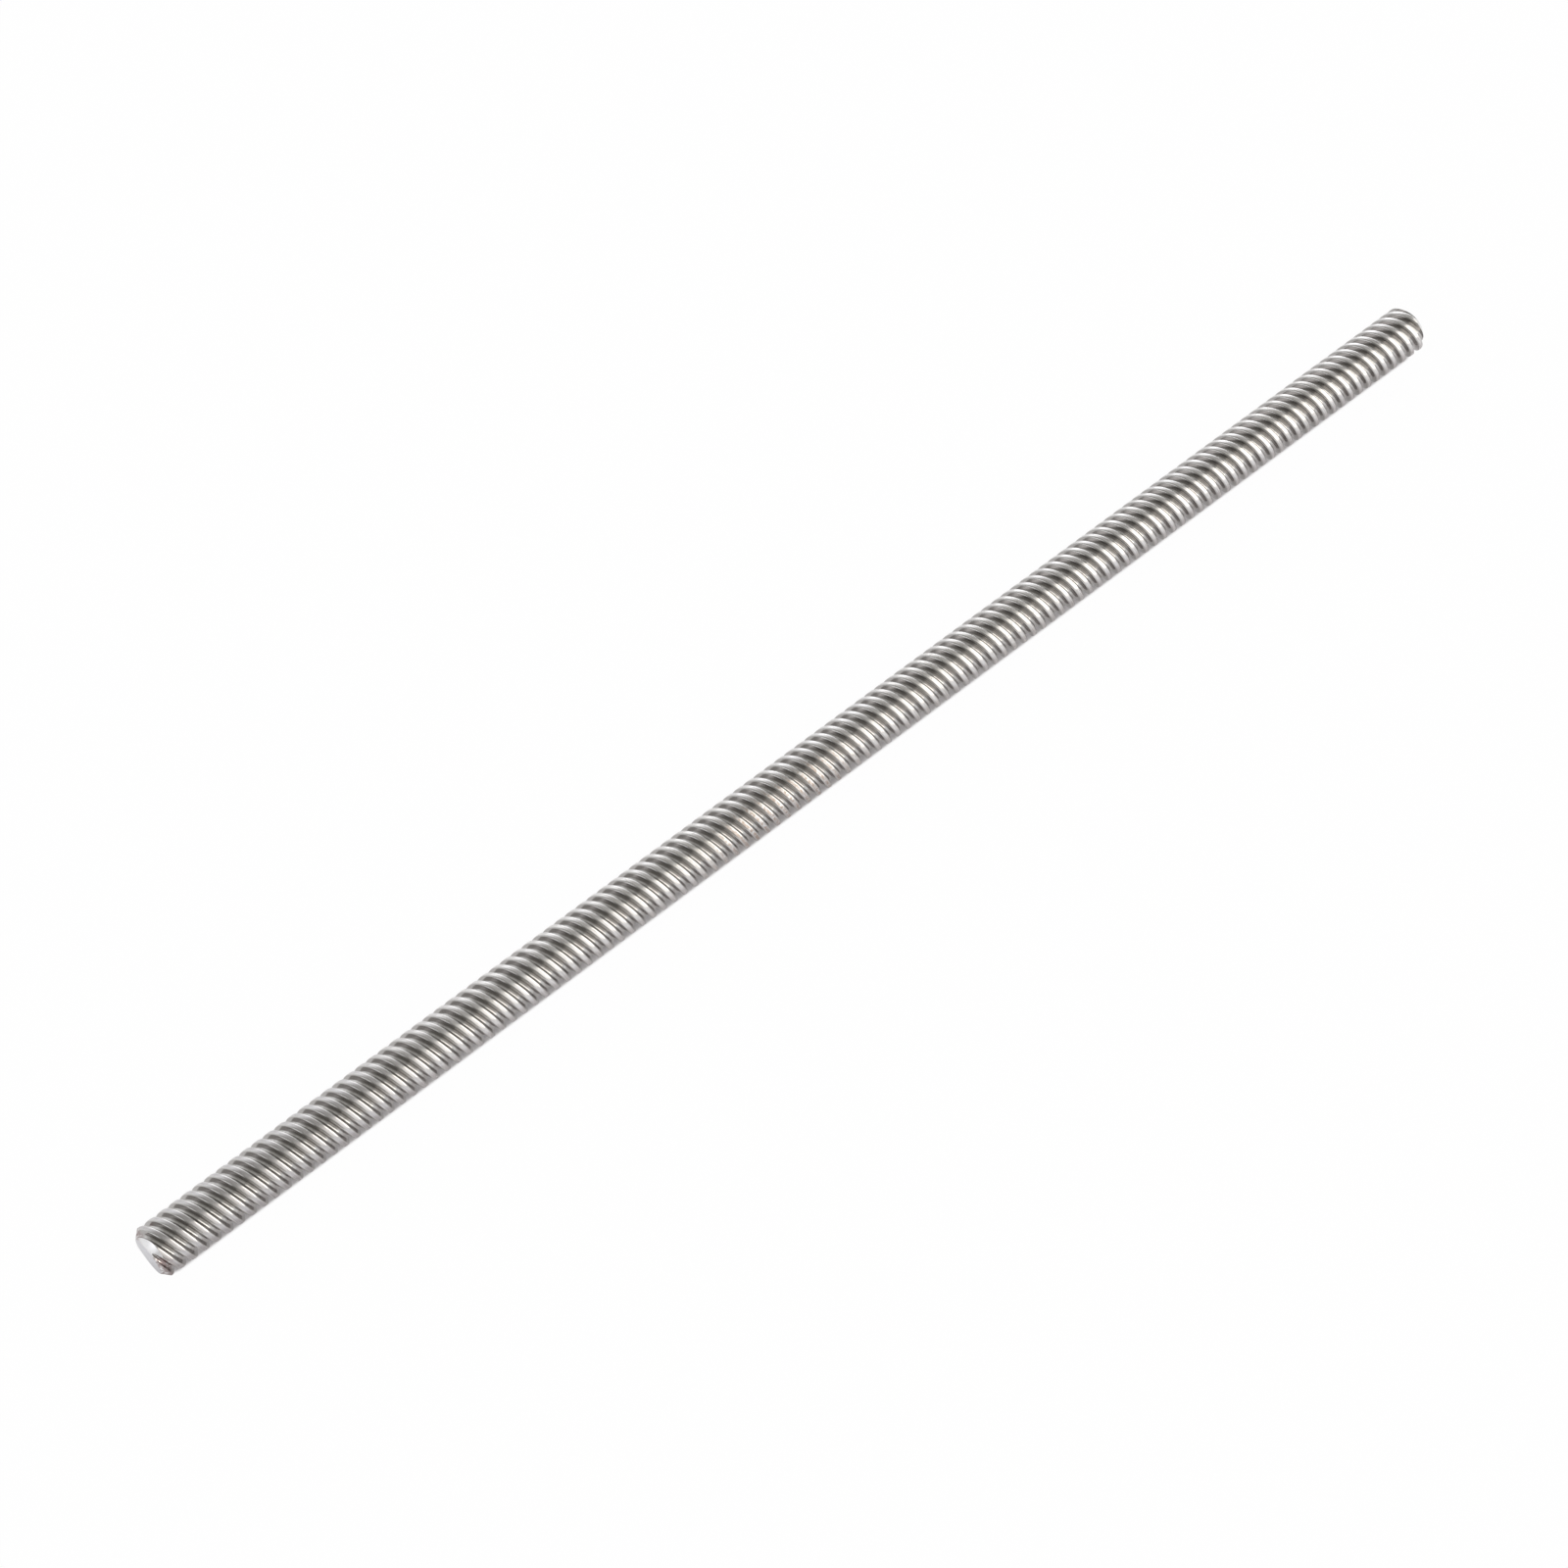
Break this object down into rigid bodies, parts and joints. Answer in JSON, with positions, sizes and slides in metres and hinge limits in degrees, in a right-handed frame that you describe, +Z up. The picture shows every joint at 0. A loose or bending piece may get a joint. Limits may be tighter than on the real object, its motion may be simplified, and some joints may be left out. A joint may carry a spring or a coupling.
{
  "type": "trapezoidal lead screw",
  "caption": "Round steel bar with a right-hand trapezoidal thread from end to end and chamfered ends, turned to drive a nut along it.",
  "frame": {"origin": "middle of the line that the bar lies on", "axes": "+X along the bar, +Z up"},
  "size_m": [0.25, 0.008, 0.008],
  "materials": {
    "lead_screw": "bright rolled stainless steel with fine marks along the thread"
  },
  "bodies": {
    "root": {"lead_screw": "lead_screw"}
  },
  "joints": []
}
